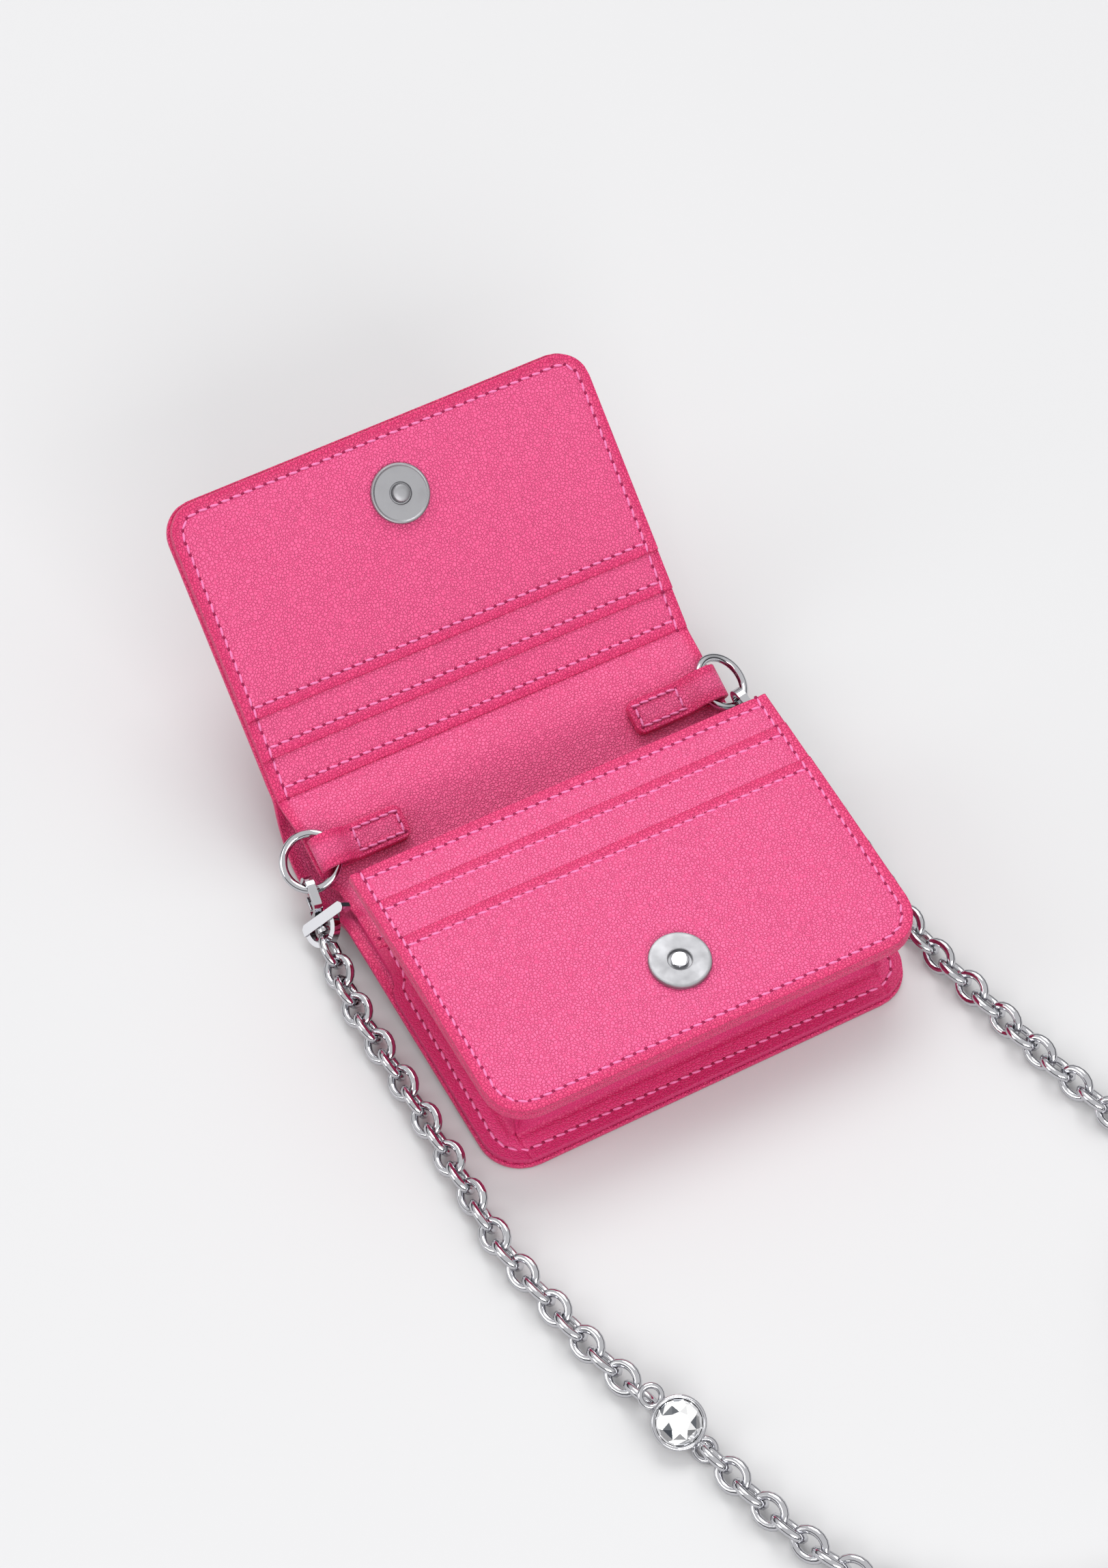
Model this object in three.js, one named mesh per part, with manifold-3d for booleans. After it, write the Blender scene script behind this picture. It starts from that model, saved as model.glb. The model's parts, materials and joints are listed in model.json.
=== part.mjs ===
// A leather chain wallet, lying open: a back panel, a folding spine, a flap with stepped card pockets, a raised
// inner leaf on a bellows, two tabs with rings, two snap clasps and a chain strap. Millimetres, +Z up.
// The wallet is drawn flat on its back panel (x across, y towards the flap, z off the panel) and then tilted,
// because it rests on the back panel's free edge and on the spine cover's bulge.
import * as THREE from "three";
import * as BufferGeometryUtils from "three/addons/utils/BufferGeometryUtils.js";
import Module from "manifold-3d";

const wasm = await Module();
wasm.setup();

// ---------------------------------------------------------------- driving dimensions
const gap = 0.3; // between pieces that touch
const backWidth = 108;
const backLength = 72.8;
const cornerRadius = 10;
const coverThickness = 1.1;
const liningThickness = 1.1;

const leafTop = 25.8; // leaf's pocket face above the underside of the back
const leafBoardThickness = 1.6;
const leafPocketThickness = 0.5;
const leafPocketSteps = [20.2, 9.3, 0]; // pocket mouths, from the leaf's hinge edge
const bellowsWallInset = 8; // wall's place in from the back's edge
const bellowsThickness = 0.7;

const spineBulge = { y: 21.5, depth: 7.1 }; // lowest line of the cover between back and flap
const coverFlare = 1.5; // spine cover's edge beyond the back's edge
const panelThickness = 0.9;
const hemLength = 8.6;
const hemThickness = 0.7;
const claspRoom = 2.6; // hem and lining stand back from the edge to let the clasps pass

const flapRoot = { y: 33.75, z: 9.11 }; // first pocket mouth's place on the flap's face
const flapAngle = 35.8;
const flapLength = 71.75;
const flapSpread = 1.4; // flap's extra width beyond the back's
const flapCorner = 8;
const flapPocketThickness = 0.5;
const flapPocketSteps = [19.6, 9.8, 0];
const flapLiningThickness = 0.6;
const flapCoverThickness = 1.0;

const snapRadius = 7.15;
const flapSnapPlace = 55.0; // along the flap, from its root
const leafSnapPlace = 18.2; // from the leaf's free edge
const snapThickness = 1.2;
const studRadius = 2.1;

const tabCentre = { y: 18.7, z: 4.5 }; // on the spine panel
const tabSlope = 19;
const tabWidth = 8.4;
const tabReach = 24; // tab's inner end, in from the back's edge
const tabStack = 2.4;
const loopWall = 1.1;
const loopHollow = 1.85; // half the height of the hollow that holds the ring
const loopSlack = 1.6; // hollow's extra length beyond the ring
const ringHingeInset = 5; // ring's turning line, in from the back's edge

const ringRadius = 6.5; // to the wire's centre
const ringWire = 1.0;
const ringInset = 0.8; // turning line's place inside the wire circle
const ringDrop = 2.318; // ring's middle, below its turning line
const claspAngle = 240; // clasp's place round the ring

const hookHole = 1.95;
const hookWall = 1.1;
const hookWidth = 2.0;
const gateWidth = 1.3;
const barPlace = 8.3; // swivel bar's middle, from the ring
const barLength = { near: 5.0, far: 9.0 }; // either side of the stem
const barHeight = 2.6;
const barDepth = 2.8;
const bowRadius = 4.9;
const bowWall = 1.3;
const stemRadius = 0.8;
const stemClearance = 0.15;
const headRadius = 1.5;

const chainWidth = 7.2;
const stoneRadius = 5.0;
const stoneHeight = 4.2;
const cupRadius = 6.0;
const eyeRadius = 2.3; // to the wire's centre
const eyeWire = 0.7;
const stoneCentreHeight = 4.9;
const stoneHeading = 15; // turn of the chain's line there, from the y axis
const stoneLean = { x: 24, y: -16 };

// ---------------------------------------------------------------- derived sizes
const half = backWidth / 2;
const flapWidth = backWidth + flapSpread;
const tabInnerEnd = half - tabReach;
const ringHinge = half - ringHingeInset;
const ringDroop = (Math.asin(ringDrop / (ringRadius - ringInset)) * 180) / Math.PI;
const backRim = coverThickness + gap + liningThickness;
const leafFloor = leafTop - leafPocketSteps.length * (leafPocketThickness + gap) - leafBoardThickness;
const tilt = Math.atan2(spineBulge.depth, backLength + spineBulge.y);
const degrees = Math.PI / 180;
const hookLength = barPlace - barHeight / 2 - gap - 0.9;

// ---------------------------------------------------------------- materials and helpers
const finish = (color, roughness, metalness) => new THREE.MeshStandardMaterial({ color, roughness, metalness });
const leather = () => finish(0xf0407e, 0.5, 0);
const darkLeather = () => finish(0xc01858, 0.6, 0);
const steel = () => finish(0xd8d8dc, 0.15, 1);
const satin = () => finish(0xc8c8cc, 0.35, 1);
const stoneGlass = () => finish(0xf4f4fa, 0.05, 0);

const wallet = new THREE.Group();
const object = new THREE.Group();

function add(parent, name, geometry, material) {
  const mesh = new THREE.Mesh(geometry, material);
  mesh.name = name;
  parent.add(mesh);
  return mesh;
}

// a flat plate from y = near (square corners) to y = far (rounded corners)
function plate(halfWidth, near, far, radius, bottom, thickness) {
  const towards = Math.sign(far - near);
  const turn = far - towards * radius;
  const outline = new THREE.Shape();
  outline.moveTo(-halfWidth, near);
  outline.lineTo(halfWidth, near);
  outline.lineTo(halfWidth, turn);
  for (let i = 1; i <= 8; i++) {
    const a = (i / 8) * 90 * degrees;
    outline.lineTo(halfWidth - radius * (1 - Math.cos(a)), turn + towards * radius * Math.sin(a));
  }
  for (let i = 0; i < 8; i++) {
    const a = (1 - i / 8) * 90 * degrees;
    outline.lineTo(-halfWidth + radius * (1 - Math.cos(a)), turn + towards * radius * Math.sin(a));
  }
  outline.lineTo(-halfWidth, turn);
  const solid = new THREE.ExtrudeGeometry(outline, { depth: thickness, bevelEnabled: false });
  solid.translate(0, 0, bottom);
  return solid;
}

// a section in the y-z plane, carried along x from -halfWidth to halfWidth
function acrossX(points, x0, x1) {
  const section = new THREE.Shape(points.map(([y, z]) => new THREE.Vector2(y, z)));
  const solid = new THREE.ExtrudeGeometry(section, { depth: x1 - x0, bevelEnabled: false });
  const turn = new THREE.Matrix4().set(0, 0, 1, x0, 1, 0, 0, 0, 0, 1, 0, 0, 0, 0, 0, 1);
  return solid.applyMatrix4(turn);
}

// a strip of constant thickness whose first side follows the points; a positive thickness lies to their left
function strip(points, thickness) {
  const curve = new THREE.SplineCurve(points.map(([y, z]) => new THREE.Vector2(y, z)));
  const line = curve.getPoints(points.length * 4);
  const other = line.map((p, i) => {
    const before = line[Math.max(i - 1, 0)];
    const after = line[Math.min(i + 1, line.length - 1)];
    const along = after.clone().sub(before).normalize();
    return new THREE.Vector2(p.x - along.y * thickness, p.y + along.x * thickness);
  });
  return [...line, ...other.reverse()].map((p) => [p.x, p.y]);
}

function toManifold(geometry) {
  let g = geometry.clone();
  g.deleteAttribute("normal");
  g.deleteAttribute("uv");
  g = BufferGeometryUtils.mergeVertices(g, 1e-4);
  const mesh = new wasm.Mesh({
    numProp: 3,
    vertProperties: new Float32Array(g.attributes.position.array),
    triVerts: new Uint32Array(g.index.array),
  });
  return new wasm.Manifold(mesh);
}

function fromManifold(solid) {
  const mesh = solid.getMesh();
  const g = new THREE.BufferGeometry();
  g.setAttribute("position", new THREE.BufferAttribute(new Float32Array(mesh.vertProperties), 3));
  g.setIndex(new THREE.BufferAttribute(new Uint32Array(mesh.triVerts), 1));
  g.computeVertexNormals();
  return g;
}

function joined(...geometries) {
  return fromManifold(geometries.map(toManifold).reduce((a, b) => a.add(b)));
}

function cut(geometry, ...tools) {
  return fromManifold(tools.map(toManifold).reduce((a, b) => a.subtract(b), toManifold(geometry)));
}

// a shape in the first two axes, from low to high along the third
function prism(points, low, high, holes = []) {
  const outline = new THREE.Shape(points.map(([x, y]) => new THREE.Vector2(x, y)));
  outline.holes = holes.map((hole) => new THREE.Path(hole.map(([x, y]) => new THREE.Vector2(x, y))));
  const solid = new THREE.ExtrudeGeometry(outline, { depth: high - low, bevelEnabled: false });
  solid.translate(0, 0, low);
  return solid;
}

function arc(cx, cy, radius, from, to, steps) {
  const points = [];
  for (let i = 0; i <= steps; i++) {
    const a = (from + ((to - from) * i) / steps) * degrees;
    points.push([cx + radius * Math.cos(a), cy + radius * Math.sin(a)]);
  }
  return points;
}

// ---------------------------------------------------------------- back panel
add(wallet, "back_cover", plate(half, 1.5, -backLength, cornerRadius, 0, coverThickness), leather());
const liningBottom = coverThickness + gap;
add(
  wallet,
  "back_lining",
  plate(half - claspRoom, 0.9, -backLength + 0.4, cornerRadius - 0.4, liningBottom, liningThickness),
  darkLeather(),
);
const hemBottom = backRim + gap;
const hemTop = hemBottom + hemThickness;
const hem = [
  [-hemLength, hemBottom],
  [0.2, hemBottom],
  [2.6, hemBottom - 1.0],
  [5.4, hemBottom - 1.5],
  [5.4, hemBottom - 1.5 + hemThickness],
  [2.8, hemTop - 0.9],
  [0.4, hemTop],
  [-hemLength, hemTop],
];
add(wallet, "panel_hem", acrossX(hem, -half + claspRoom, half - claspRoom), leather());

// ---------------------------------------------------------------- bellows between back and leaf
const bellowsBottom = backRim + gap;
const bellowsTop = leafFloor - gap;
const wallX = half - bellowsWallInset;
const wallY = -backLength + bellowsWallInset;
const legEnd = half - 0.8;

function bellowsSection(wall, edge) {
  const t = bellowsThickness;
  const s = Math.sign(edge - wall);
  return [
    [wall, bellowsBottom],
    [edge, bellowsBottom],
    [edge, bellowsBottom + t],
    [wall + s * t, bellowsBottom + t],
    [wall + s * t, bellowsTop - t],
    [edge, bellowsTop - t],
    [edge, bellowsTop],
    [wall, bellowsTop],
  ];
}

for (const side of [-1, 1]) {
  const section = bellowsSection(side * wallX, side * legEnd);
  const wall = prism(section, 0, backLength - cornerRadius - hemLength - gap);
  wall.rotateX(Math.PI / 2);
  wall.translate(0, -hemLength - gap, 0);
  add(wallet, side < 0 ? "bellows_left" : "bellows_right", wall, darkLeather());
}
const endSection = bellowsSection(wallY, -backLength + 0.8);
add(wallet, "bellows_bottom", acrossX(endSection, -wallX + gap, wallX - gap), darkLeather());

// ---------------------------------------------------------------- raised leaf
const leafBottomEdge = -backLength;
add(
  wallet,
  "leaf_board",
  plate(half, 0, leafBottomEdge, cornerRadius, leafFloor, leafBoardThickness),
  leather(),
);
const leafNames = ["leaf_pocket_front", "leaf_pocket_middle", "leaf_pocket_rear"];
leafPocketSteps.forEach((step, i) => {
  const bottom = leafTop - i * (leafPocketThickness + gap) - leafPocketThickness;
  add(
    wallet,
    leafNames[i],
    plate(half - 0.2, -step, leafBottomEdge + 0.2, cornerRadius - 0.2, bottom, leafPocketThickness),
    leather(),
  );
});

// ---------------------------------------------------------------- snaps
function turned(profile, segments = 40) {
  const solid = new THREE.LatheGeometry(profile.map(([r, z]) => new THREE.Vector2(r, z)), segments);
  solid.rotateX(Math.PI / 2);
  return solid;
}

// female half: a disc with a round well and a rivet head standing in the well
const wellRadius = studRadius + 0.6;
const wellDepth = 0.9;
const leafSnap = turned([
  [0, 0],
  [snapRadius - 0.4, 0],
  [snapRadius, 0.3],
  [snapRadius, snapThickness - 0.4],
  [snapRadius - 0.5, snapThickness],
  [wellRadius, snapThickness],
  [wellRadius, snapThickness - wellDepth],
  [0, snapThickness - wellDepth],
]);
leafSnap.translate(0, leafBottomEdge + leafSnapPlace, leafTop + gap);
add(wallet, "leaf_snap", leafSnap, satin());
const pin = turned([
  [0, 0],
  [studRadius - 0.1, 0],
  [studRadius - 0.1, 0.3],
  [studRadius - 0.5, 0.5],
  [0, 0.5],
]);
pin.translate(0, leafBottomEdge + leafSnapPlace, leafTop + gap + snapThickness - wellDepth + gap / 2);
add(wallet, "leaf_snap_pin", pin, steel());

// ---------------------------------------------------------------- flap, drawn flat and turned up about its root
const flap = new THREE.Group();
flap.position.set(0, flapRoot.y, flapRoot.z);
flap.rotation.x = flapAngle * degrees;
wallet.add(flap);
const flapNames = ["flap_pocket_front", "flap_pocket_middle", "flap_pocket_rear"];
flapPocketSteps.forEach((step, i) => {
  const bottom = -i * (flapPocketThickness + gap) - flapPocketThickness;
  const edge = flapWidth / 2 - 0.5;
  add(
    flap,
    flapNames[i],
    plate(edge, step, flapLength - 0.5, flapCorner - 0.5, bottom, flapPocketThickness),
    leather(),
  );
});
const flapLiningTop = -flapPocketSteps.length * (flapPocketThickness + gap);
const flapLiningBottom = flapLiningTop - flapLiningThickness;
const flapCoverTop = flapLiningBottom - gap;
add(
  flap,
  "flap_cover",
  plate(flapWidth / 2, -0.4, flapLength, flapCorner, flapCoverTop - flapCoverThickness, flapCoverThickness),
  leather(),
);
// lining's far part lies in the flap; its first stretch runs level to meet the spine panel
const liningPlate = plate(
  flapWidth / 2 - 0.3,
  0,
  flapLength - 0.3,
  flapCorner - 0.3,
  flapLiningBottom,
  flapLiningThickness,
);
const cosFlap = Math.cos(flapAngle * degrees);
const sinFlap = Math.sin(flapAngle * degrees);
const flapPoint = (s, n) => [flapRoot.y + s * cosFlap - n * sinFlap, flapRoot.z + s * sinFlap + n * cosFlap];
const liningMeet = flapPoint(0.4, flapLiningTop);
const liningUnder = flapPoint(0.4, flapLiningBottom);
const leadIn = acrossX(
  [[30.4, liningMeet[1] - 0.1], [30.4, liningMeet[1] - 0.1 - panelThickness], liningUnder, liningMeet],
  -flapWidth / 2 + 0.3,
  flapWidth / 2 - 0.3,
);
leadIn.translate(0, -flapRoot.y, -flapRoot.z);
leadIn.rotateX(-flapAngle * degrees);
add(flap, "flap_lining", joined(liningPlate, leadIn), darkLeather());

const flapSnap = turned([
  [0, 0],
  [snapRadius - 0.4, 0],
  [snapRadius, 0.3],
  [snapRadius, snapThickness - 0.4],
  [snapRadius - 0.5, snapThickness],
  [studRadius, snapThickness],
  [studRadius, snapThickness + 0.5],
  [studRadius - 0.3, snapThickness + 0.7],
  [0, snapThickness + 0.7],
]);
flapSnap.translate(0, flapSnapPlace, gap);
add(flap, "flap_snap", flapSnap, satin());

// ---------------------------------------------------------------- spine
const coverLine = [
  [1.8, 0],
  [4.2, -2.3],
  [8, -5.0],
  [12.5, -6.35],
  [17, -spineBulge.depth + 0.36],
  [spineBulge.y, -spineBulge.depth],
  [26, -spineBulge.depth + 0.5],
  [30, -spineBulge.depth + 2.3],
  [32.6, -spineBulge.depth + 4.5],
  [33.9, -spineBulge.depth + 6.0],
];
const coverHalf = half + coverFlare;
add(wallet, "spine_cover", acrossX(strip(coverLine, coverThickness), -coverHalf, coverHalf), leather());
const panelLine = [
  [6.3, 1.9],
  [9, 2.0],
  [12.3, 2.45],
  [15.7, 3.5],
  [tabCentre.y, tabCentre.z],
  [22.5, 5.8],
  [25.6, 6.6],
  [27.6, 6.85],
];
const panelHalf = half - 0.2;
add(wallet, "spine_panel", acrossX(strip(panelLine, -panelThickness), -panelHalf, panelHalf), leather());

// ---------------------------------------------------------------- tabs and rings
const tabs = new THREE.Group();
tabs.position.set(0, tabCentre.y, tabCentre.z);
tabs.rotation.x = tabSlope * degrees;
wallet.add(tabs);
const loopCentre = gap + loopWall + loopHollow;
const loopOuter = loopWall + loopHollow;

function tab(side) {
  const outline = [
    [tabInnerEnd, gap],
    ...arc(ringHinge + loopSlack, loopCentre, loopOuter, -90, 90, 12),
    [ringHinge - 0.6, loopCentre + loopOuter],
    [ringHinge - 2.6, loopCentre + loopOuter - 0.9],
    [ringHinge - 4.6, tabStack + gap + 0.8],
    [ringHinge - 6.4, tabStack + gap],
    [tabInnerEnd, tabStack + gap],
  ];
  const hollow = [
    ...arc(ringHinge + loopSlack, loopCentre, loopHollow, -90, 90, 8),
    ...arc(ringHinge, loopCentre, loopHollow, 90, 270, 8),
  ];
  const solid = prism(outline, -tabWidth / 2, tabWidth / 2, [hollow]);
  solid.rotateX(Math.PI / 2);
  return side < 0 ? solid.rotateZ(Math.PI) : solid;
}

function ringCentre(side) {
  const out = ringRadius - ringInset;
  const x = ringHinge + out * Math.cos(ringDroop * degrees);
  return new THREE.Vector3(side * x, 0, loopCentre - out * Math.sin(ringDroop * degrees));
}

// the wire's middle at an angle round the ring, from the tab's side towards the flap
function ringPoint(side, angle) {
  const a = angle * degrees;
  const inward = new THREE.Vector3(-side * Math.cos(ringDroop * degrees), 0, Math.sin(ringDroop * degrees));
  const along = new THREE.Vector3(0, 1, 0);
  return ringCentre(side)
    .addScaledVector(inward, ringRadius * Math.cos(a))
    .addScaledVector(along, ringRadius * Math.sin(a));
}

const sides = { left: -1, right: 1 };
for (const [name, side] of Object.entries(sides)) {
  add(tabs, `tab_${name}`, tab(side), leather());
  const ring = add(tabs, `ring_${name}`, new THREE.TorusGeometry(ringRadius, ringWire, 10, 36), steel());
  ring.position.copy(ringCentre(side));
  ring.rotation.y = side * ringDroop * degrees;
}

// ---------------------------------------------------------------- snap clasps
// drawn with x from the ring to the chain, y along the swivel bar and z across it
function hookShape() {
  const outer = hookHole + hookWall;
  const neck = hookLength;
  return [
    ...arc(0, 0, outer, 90, 245, 14),
    ...arc(0, 0, hookHole, 245, 90, 14),
    [neck - 1.6, hookHole],
    [neck - 0.2, 0.3],
    [neck - 0.2, -hookHole - 0.2],
    [neck - 1.3, -hookHole - 0.2],
    [neck - 1.3, -outer],
    [neck + 0.4, -outer],
    [neck + 0.9, -stemRadius],
    [neck + 0.9, stemRadius],
    [neck, outer - 0.6],
    [neck - 1.4, outer],
  ];
}

function hook() {
  const frame = prism(hookShape(), -hookWidth / 2, hookWidth / 2);
  const stem = turned(
    [
      [0, hookLength + 0.4],
      [stemRadius, hookLength + 0.4],
      [stemRadius, barPlace + barHeight / 2 + gap],
      [headRadius, barPlace + barHeight / 2 + gap],
      [headRadius, barPlace + barHeight / 2 + 1.4],
      [0, barPlace + barHeight / 2 + 1.4],
    ],
    20,
  );
  stem.rotateY(Math.PI / 2);
  return joined(frame, stem);
}

function gate() {
  const low = -hookHole - hookWall + 0.1;
  const tip = 0.9;
  const heel = hookLength - 1.3 - gap;
  const outline = [
    [tip + 0.2, low],
    [heel, low],
    [heel, low + 0.9],
    [tip, low + 0.9],
  ];
  return prism(outline, -gateWidth / 2, gateWidth / 2);
}

function swivelBase() {
  const face = barPlace + barHeight / 2;
  const back = barPlace - barHeight / 2;
  const bar = prism(
    [
      [back, -barLength.near + 0.8],
      [back + 0.8, -barLength.near],
      [face, -barLength.near],
      [face, barLength.far - 0.8],
      [face - 0.8, barLength.far],
      [back + 0.8, barLength.far],
      [back, barLength.far - 0.8],
    ],
    -barDepth / 2,
    barDepth / 2,
  );
  const inner = bowRadius - bowWall;
  const bow = prism(
    [...arc(face - 0.2, 0, bowRadius, -90, 90, 20), ...arc(face - 0.2, 0, inner, 90, -90, 20)],
    -barDepth / 2 + 0.4,
    barDepth / 2 - 0.4,
  );
  const bore = turned(
    [
      [0, back - 1],
      [stemRadius + stemClearance, back - 1],
      [stemRadius + stemClearance, face + 1],
      [0, face + 1],
    ],
    20,
  );
  bore.rotateY(Math.PI / 2);
  return cut(joined(bar, bow), bore);
}

// the clasp's line falls from the ring towards the chain; the hook and its swivel are rolled about that line
const claspLine = new THREE.Vector3(-0.136, -0.95, -0.283).normalize();
const hookRoll = 84;
const baseRoll = 52;

function claspBasis(roll, side) {
  const level = new THREE.Vector3(-claspLine.y, claspLine.x, 0).normalize();
  const up = new THREE.Vector3().crossVectors(claspLine, level);
  const across = level
    .clone()
    .multiplyScalar(Math.cos(roll * degrees))
    .addScaledVector(up, Math.sin(roll * degrees));
  const line = claspLine.clone();
  line.x *= -side;
  across.x *= -side;
  const normal = new THREE.Vector3().crossVectors(line, across);
  return new THREE.Matrix4().makeBasis(line, across, normal);
}

const tiltTurn = new THREE.Matrix4().makeRotationX(-tilt);
tabs.updateMatrix();
for (const [name, side] of Object.entries(sides)) {
  const place = ringPoint(side, claspAngle).applyMatrix4(tabs.matrix);
  const pieces = [
    [`hook_${name}`, hook(), hookRoll],
    [`gate_${name}`, gate(), hookRoll],
    [`swivel_${name}`, swivelBase(), baseRoll],
  ];
  for (const [node, geometry, roll] of pieces) {
    const mesh = add(wallet, node, geometry, steel());
    mesh.quaternion.setFromRotationMatrix(tiltTurn.clone().multiply(claspBasis(roll, side)));
    mesh.position.copy(place);
  }
}

// ---------------------------------------------------------------- tilt onto the table, centre the box
const about = new THREE.Group();
wallet.position.set(0, backLength, 0);
about.add(wallet);
about.rotation.x = tilt;
about.updateMatrixWorld(true);
const bounds = new THREE.Box3().setFromObject(about, true);
about.position.set(0, -(bounds.min.y + bounds.max.y) / 2, -bounds.min.z);
object.add(about);

// ---------------------------------------------------------------- chain strap, laid on the table
// Plain round solids stand for its links. Points are in the object's own frame.
const chainLie = chainWidth / 2 + 0.05; // height of the chain's middle
const leftRun = [
  [-60.0, -13.5, 4.15],
  [-60.6, -17.5, 3.7],
  [-61.5, -27, chainLie],
  [-61.6, -47, chainLie],
  [-61.9, -66, chainLie],
  [-62.4, -83, chainLie],
  [-62.8, -98, chainLie],
  [-60.6, -114, chainLie],
  [-58.0, -130, chainLie],
  [-54.3, -144.3, chainLie],
];
const lowerRun = [
  [-48.5, -164.3, chainLie],
  [-46.3, -175, chainLie],
  [-42.8, -188, chainLie],
  [-38.1, -199.7, chainLie],
  [-29, -213.5, chainLie],
  [-13, -227, chainLie],
  [8, -236, chainLie],
  [30, -239.2, chainLie],
  [49, -239.3, chainLie],
];
const rightRun = [
  [88.5, -166, chainLie],
  [83, -155.5, chainLie],
  [76.5, -143, chainLie],
  [72, -131.5, chainLie],
  [69.9, -123, chainLie],
  [67.2, -111, chainLie],
  [64.8, -98.5, chainLie],
  [62.4, -85, chainLie],
  [60.5, -72, chainLie],
  [60.2, -55, chainLie],
  [60.8, -36, chainLie],
  [60.9, -18, 3.8],
  [60.2, -13.5, 4.15],
];
const coil = { x: 75, y: -206, outer: 33, inner: 17 }; // circles of the chain's middle

function tube(points) {
  const route = points.map(([x, y, z]) => new THREE.Vector3(x, y, z));
  const curve = new THREE.CatmullRomCurve3(route, false, "centripetal");
  const circle = arc(0, 0, chainWidth / 2, 0, 330, 11).map(([x, y]) => new THREE.Vector2(x, y));
  const steps = Math.max(4, Math.round(curve.getLength() / (2 * chainWidth)));
  return new THREE.ExtrudeGeometry(new THREE.Shape(circle), { steps, extrudePath: curve, bevelEnabled: false });
}

add(object, "chain_left_run", tube(leftRun), steel());
add(object, "chain_lower_run", tube(lowerRun), steel());
add(object, "chain_right_run", tube(rightRun), steel());
const coilHeight = 2 * chainWidth + 0.1;
const coilSolid = turned(
  [
    [coil.inner - chainWidth / 2, 0.05],
    [coil.outer + chainWidth / 2, 0.05],
    [coil.outer + chainWidth / 2, coilHeight],
    [coil.inner - chainWidth / 2, coilHeight],
    [coil.inner - chainWidth / 2, 0.05],
  ],
  48,
);
coilSolid.translate(coil.x, coil.y, 0);
add(object, "chain_coil", coilSolid, steel());

// ---------------------------------------------------------------- stone link, part of the chain
// A round cup with an eye at each end; the cup leans on its lower edge.
const stoneLink = new THREE.Group();
stoneLink.position.set(-51.4, -154.3, stoneCentreHeight);
stoneLink.rotation.set(0, 0, stoneHeading * degrees);
object.add(stoneLink);
const cupTurn = new THREE.Group();
cupTurn.rotation.set(stoneLean.x * degrees, stoneLean.y * degrees, 0, "YXZ");
stoneLink.add(cupTurn);
const cupFloor = stoneHeight / 2 - 0.6;
const cup = turned([
  [0, -stoneHeight / 2],
  [stoneRadius - 0.6, -stoneHeight / 2],
  [cupRadius, -stoneHeight / 2 + 1.6],
  [cupRadius, stoneHeight / 2 - 0.4],
  [cupRadius - 0.3, stoneHeight / 2],
  [stoneRadius + gap, stoneHeight / 2],
  [stoneRadius + gap, -cupFloor],
  [0, -cupFloor],
]);
const eyes = [-1, 1].map((end) => {
  const eye = new THREE.TorusGeometry(eyeRadius, eyeWire, 8, 20);
  return eye.translate(0, end * (cupRadius + eyeRadius - 0.3), 0);
});
add(cupTurn, "stone_cup", joined(cup, ...eyes), steel());
const stone = new THREE.LatheGeometry(
  [
    [0, -cupFloor + gap],
    [stoneRadius * 0.4, -cupFloor + gap],
    [stoneRadius, stoneHeight / 2 - 0.9],
    [stoneRadius, stoneHeight / 2 - 0.5],
    [stoneRadius * 0.62, stoneHeight / 2 + 0.5],
    [0, stoneHeight / 2 + 0.5],
  ].map(([r, z]) => new THREE.Vector2(r, z)),
  12,
);
stone.rotateX(Math.PI / 2);
add(cupTurn, "stone", stone, stoneGlass());

export default object;
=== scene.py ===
"""An open leather chain wallet: back panel, folding spine, flap with stepped card pockets, raised leaf on a
bellows, ring tabs, snap clasps and a chain strap with a stone-set link. The scene is in metres; the sizes
below are in millimetres."""
import json
import math
import random

import bpy
from mathutils import Matrix, Vector


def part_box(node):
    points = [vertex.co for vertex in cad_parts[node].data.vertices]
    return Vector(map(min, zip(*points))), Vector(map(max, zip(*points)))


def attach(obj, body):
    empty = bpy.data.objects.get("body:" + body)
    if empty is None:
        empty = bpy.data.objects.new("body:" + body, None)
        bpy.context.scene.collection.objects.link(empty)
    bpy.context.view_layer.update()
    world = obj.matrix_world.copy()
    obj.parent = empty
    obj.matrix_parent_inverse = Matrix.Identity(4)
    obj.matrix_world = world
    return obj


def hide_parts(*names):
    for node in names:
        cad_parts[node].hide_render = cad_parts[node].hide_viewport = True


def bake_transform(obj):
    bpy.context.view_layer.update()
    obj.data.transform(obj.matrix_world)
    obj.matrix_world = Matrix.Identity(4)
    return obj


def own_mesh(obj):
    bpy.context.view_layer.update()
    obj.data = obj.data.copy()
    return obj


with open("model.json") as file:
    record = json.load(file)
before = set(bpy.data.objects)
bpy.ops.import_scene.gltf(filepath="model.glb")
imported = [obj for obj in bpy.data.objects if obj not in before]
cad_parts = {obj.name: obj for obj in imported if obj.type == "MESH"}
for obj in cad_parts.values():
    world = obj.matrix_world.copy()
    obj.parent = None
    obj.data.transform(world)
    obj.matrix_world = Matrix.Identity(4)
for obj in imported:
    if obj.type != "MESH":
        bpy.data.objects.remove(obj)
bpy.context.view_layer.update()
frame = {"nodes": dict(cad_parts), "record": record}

MM = 0.001

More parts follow.
